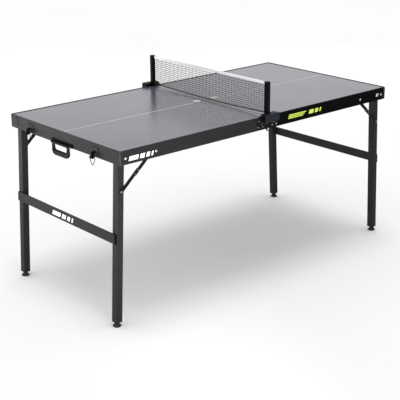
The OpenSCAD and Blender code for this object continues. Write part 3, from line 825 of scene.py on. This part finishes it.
SEAM_BARS = {"left": ((-55, -37), 17), "right": ((52, 70), 12)}  # x of each bar, y of their middles, mm
SEAM_BAR = Vector((0, 15, 0)) * MM  # half a bar
# widths of the dark strips by the seam, partly edging and partly painted shade of the gap
SEAM_EDGING_AND_SHADE = {"left": 3.6 * MM, "right": 1.6 * MM}


def add_board_lines():
    """A centre line on each half, two short bars beside the seam, and dark strips along the seam: partly a dark
    edging, partly painted shade of the gap between the halves.
    """
    top = high("left_panel").z
    net_gap, end_gap, line, bar = 80 * MM, 8 * MM, 6 * MM, 9 * MM
    for end, s in ENDS.items():
        bm = bmesh.new()
        start, stop = s * net_gap, s * (high("right_panel").x - end_gap)
        stroke(bm, Vector((start, 0, top)), Vector((stop, 0, top)), line, Z)
        piece(end + "_centre_line", bm, "line", end + "_half")
        bm = bmesh.new()
        places, middle = SEAM_BARS[end]
        for x in places:
            at = Vector((x * MM, middle * MM, top))
            stroke(bm, at - SEAM_BAR, at + SEAM_BAR, bar, Z)
        piece(end + "_seam_bars", bm, "pale", end + "_half")
        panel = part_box(end + "_panel")
        inner = min(panel, key=lambda p: abs(p.x)).x
        bm = bmesh.new()
        edge = inner + s * (SEAM_EDGING_AND_SHADE[end] / 2 + 0.1 * MM)
        ends = (Vector((edge, corner.y, top)) for corner in panel)
        stroke(bm, *ends, SEAM_EDGING_AND_SHADE[end], Z)
        piece(end + "_seam_edging", bm, "edging", end + "_half")


def add_stripes():
    """Plain slanted stripes in the places where such a table is printed. Numbers are in mm."""
    side_y = low("left_apron_near").y

    def on_side(x, z):
        return Vector((x * MM, side_y, z * MM))

    bm = bmesh.new()
    slanted_bars(bm, [(0, 46), (56, 78), (88, 104), (114, 122)], on_side(-766, 717), X, Z, -Y, 18)
    piece("side_stripes", bm, "white", "left_half")

    bm = bmesh.new()
    for rise, length in ((0, 96), (7, 104), (14, 112)):
        slanted_bars(bm, [(0, length)], on_side(132 + rise * 0.3, 724 + rise), X, Z, -Y, 4.5)
    slanted_bars(bm, [(0, 30), (40, 60), (70, 80)], on_side(266, 724), X, Z, -Y, 18.5)
    piece("right_side_stripes", bm, "lime", "right_half")

    bm = bmesh.new()
    slanted_bars(bm, [(0, 7), (11, 15)], on_side(742, 724), X, Z, -Y, 16)
    piece("right_corner_stripes", bm, "white", "right_half")

    lo = low("left_crossbar")
    up = leg_line("left")
    outward = Vector((-up.z, 0, up.x))
    foot = Vector((lo.x, 0, lo.z)) + up * 11 * MM
    bars = [(0, 60), (72, 100), (112, 132), (144, 154)]
    bm = bmesh.new()
    slanted_bars(bm, bars, foot + Y * 88 * MM, -Y, up, outward, 19)
    piece("crossbar_stripes", bm, "white", "left_leg_frame")


# ---- Frame trim ----


def add_rims():
    """The frame's upper edge, which stands a little above the playing surface round each half."""
    rise, thick, clear, inset = 2.2 * MM, 1.8 * MM, 46 * MM, 0.3 * MM
    section = [(-thick, -1 * MM), (0, -1 * MM), (0, rise - 0.5 * MM)]
    section += [(-0.5 * MM, rise), (0.4 * MM - thick, rise), (-thick, rise - 0.4 * MM)]
    top = high("left_panel").z
    x, y = high("right_apron_end").x - inset, high("left_apron_far").y - inset
    for end, s in ENDS.items():
        bm = bmesh.new()
        rings = []
        # distance from the seam, side, and whether the section also leans outwards along x
        for reach, side, out in ((clear, -1, 0), (x, -1, 1), (x, 1, 1), (clear, 1, 0)):
            at = Vector((s * reach, side * y, top))
            outward = Vector((s * out, side, 0))
            rings.append([bm.verts.new(at + outward * t + Z * h) for t, h in section])
        faces_between(bm, rings)
        piece(end + "_rim", bm, "apron", end + "_half", sharp=40)


def add_corner_edges():
    """A painted highlight: a lighter strip down the folded guard's edge at each corner of the table."""
    radius, inset, short = 1.2 * MM, 0.9 * MM, 1 * MM
    for end in ENDS:
        bm = bmesh.new()
        for lo, hi in solids(end + "_corner_guards"):
            x, y = (max((lo[k], hi[k]), key=abs) for k in (0, 1))
            at = Vector((x - math.copysign(inset, x), y - math.copysign(inset, y), 0))
            tube(bm, softened([at + Z * (lo.z + short), at + Z * (hi.z - short)], 1), radius, sides=12)
        piece(end + "_corner_edges", bm, "corner_highlight", end + "_half", sharp=60)


def add_crossbar_caps():
    """Black end caps on the crossbars."""
    for end in ENDS:
        lo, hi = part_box(end + "_crossbar")
        up = leg_line(end)
        across_bar = Vector((up.z, 0, -up.x))
        middle = (lo + hi) / 2
        height = (hi.z - lo.z) - (hi.x - lo.x) * abs(up.x / up.z)
        thick = (hi.x - lo.x) - height * abs(up.x)
        bm = bmesh.new()
        for y, outward in ((lo.y, -1), (hi.y, 1)):
            rings = []
            for t, grow in ((-6, 0.35), (-0.4, 0.35), (0.6, 0.35), (1.6, -0.5)):  # mm past the end, mm proud
                loop = rounded_loop(thick + 2 * grow * MM, height + 2 * grow * MM, 2 * MM, 4)
                at = Vector((middle.x, y + outward * t * MM, middle.z))
                rings.append([bm.verts.new(at + across_bar * u + up * v) for u, v in loop])
            faces_between(bm, rings)
        piece(end + "_crossbar_caps", bm, "black", end + "_leg_frame", sharp=40)


# ---- CAD nodes that stay ----

# the nodes of each finish, and the radius in mm that their edges are broken to
KEPT = {
    "board": (["left_panel", "right_panel"], 0.5),
    "apron": (
        ["left_apron_near", "latch_base_near", "latch_base_far"]
        + [f"{e}_{n}" for e in ENDS for n in ("apron_far", "apron_end", "seam_rail")],
        0.6,
    ),
    # the right near apron takes the darker copy of the apron paint, which is painted shade
    "shaded": (["right_apron_near"], 0.6),
    "guard": (["left_corner_guards", "right_corner_guards"], 1.2),
    "black": (["latch_lever_near", "latch_lever_far", "handle_base"], 0.5),
    "tube": ([f"{e}_{n}" for e in ENDS for n in ("leg_near", "leg_far", "crossbar")], 0.7),
    "fitting": (
        [f"{e}_link_{p}_{s}" for e in ENDS for p in ("upper", "lower") for s in SIDES]
        + ["left_hinge_leaves", "right_hinge_leaves", "right_catches"]
        + ["net_clamp_near", "net_clamp_far"],
        0.4,
    ),
    "plastic": (
        [f"{e}_{n}" for e in ENDS for n in ("spacers", "leg_plugs")] + POSTS,
        0.8,
    ),
    "steel": (["hinge_pins"], 0.3),
    "dull": (["end_pins", "left_brace_rivets", "right_brace_rivets"], 0.3),
}


def dress_cad():
    """Gives the kept CAD nodes their finish and breaks their sharp edges."""
    for material, (names, radius) in KEPT.items():
        for name in names:
            obj = frame["nodes"][name]
            obj.data.materials.clear()
            obj.data.materials.append(M[material])
            weld = obj.modifiers.new("weld", "WELD")
            weld.merge_threshold = 1e-6
            bevel = obj.modifiers.new("broken_edges", "BEVEL")
            bevel.width, bevel.segments, bevel.limit_method = radius * MM, 2, "ANGLE"
            bevel.angle_limit = math.radians(40)
            bevel.use_clamp_overlap = True
            bevel.harden_normals = True


add_camera()
add_lights()
dress_cad()
add_screws()
add_pivot_pins()
add_brace_rivets()
add_net()
add_clamp_covers()
add_handle()
add_bails()
add_feet()
add_board_lines()
add_stripes()
add_crossbar_caps()
add_corner_edges()
add_rims()
add_floor()
